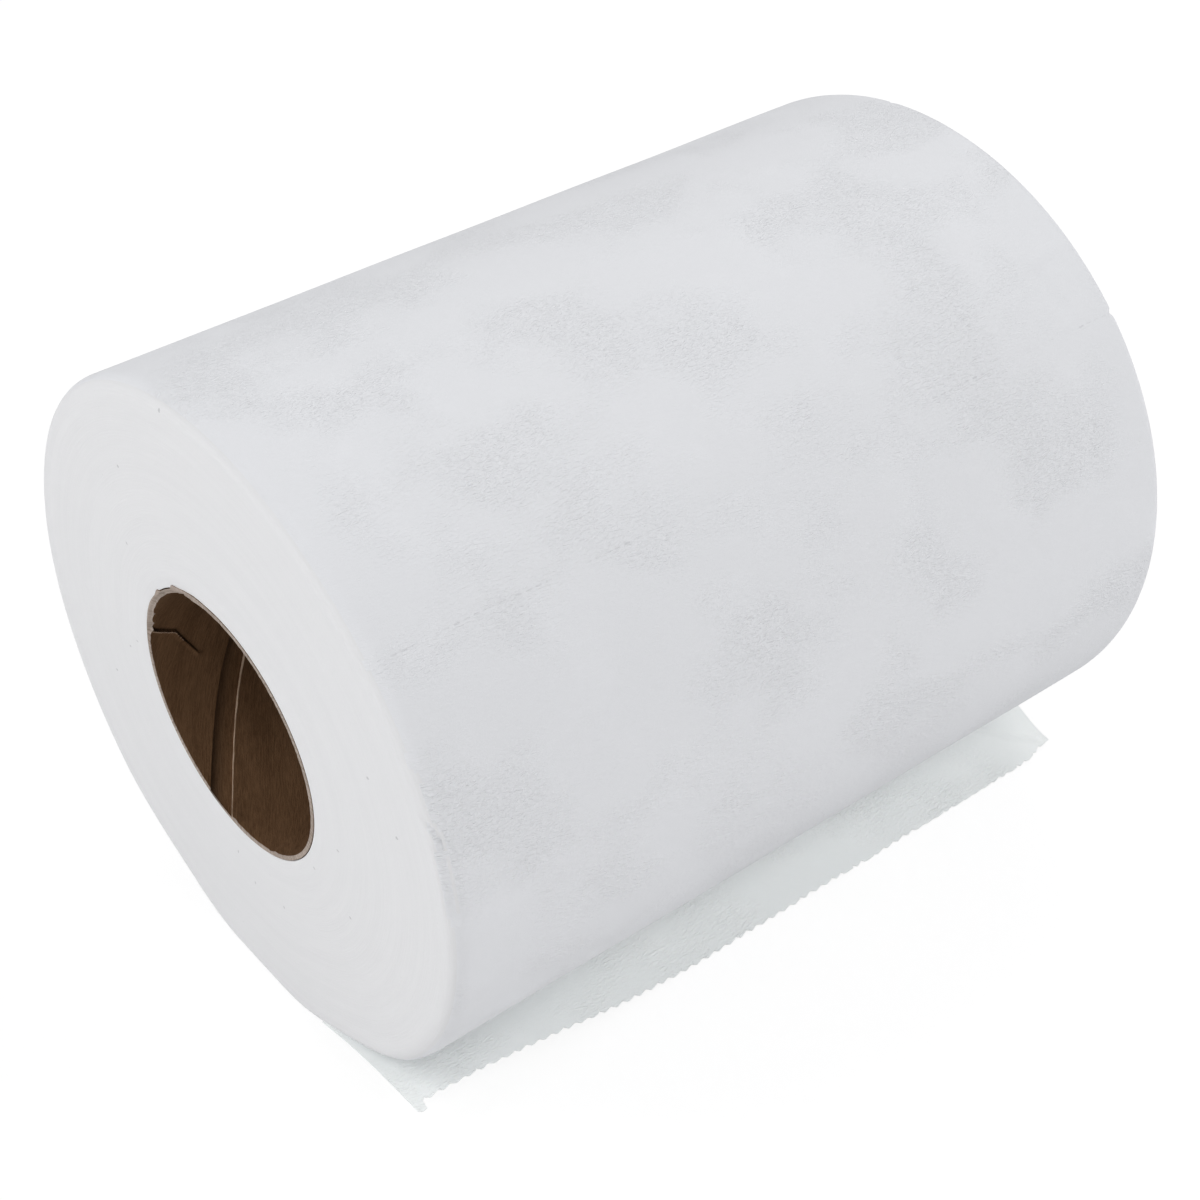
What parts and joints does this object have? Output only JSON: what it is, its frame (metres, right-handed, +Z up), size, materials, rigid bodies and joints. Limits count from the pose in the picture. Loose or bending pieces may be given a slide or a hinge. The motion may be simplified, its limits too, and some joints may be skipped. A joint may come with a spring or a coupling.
{
  "type": "paper towel roll",
  "caption": "Centre-pull paper towel roll on a spiral-wound board core, lying on its side with a short torn-edge tail of towel running out from underneath.",
  "frame": {"origin": "on the surface the roll lies on, under the middle of its axis", "axes": "+Y along the roll's axis, +X towards the free tail, +Z up"},
  "size_m": [0.198, 0.245, 0.1866],
  "materials": {
    "core_board": "matt brown kraft paperboard",
    "towel_paper": "soft matt white creped tissue"
  },
  "bodies": {
    "root": {"core_tube": "core_board", "towel_roll": "towel_paper"}
  },
  "joints": []
}
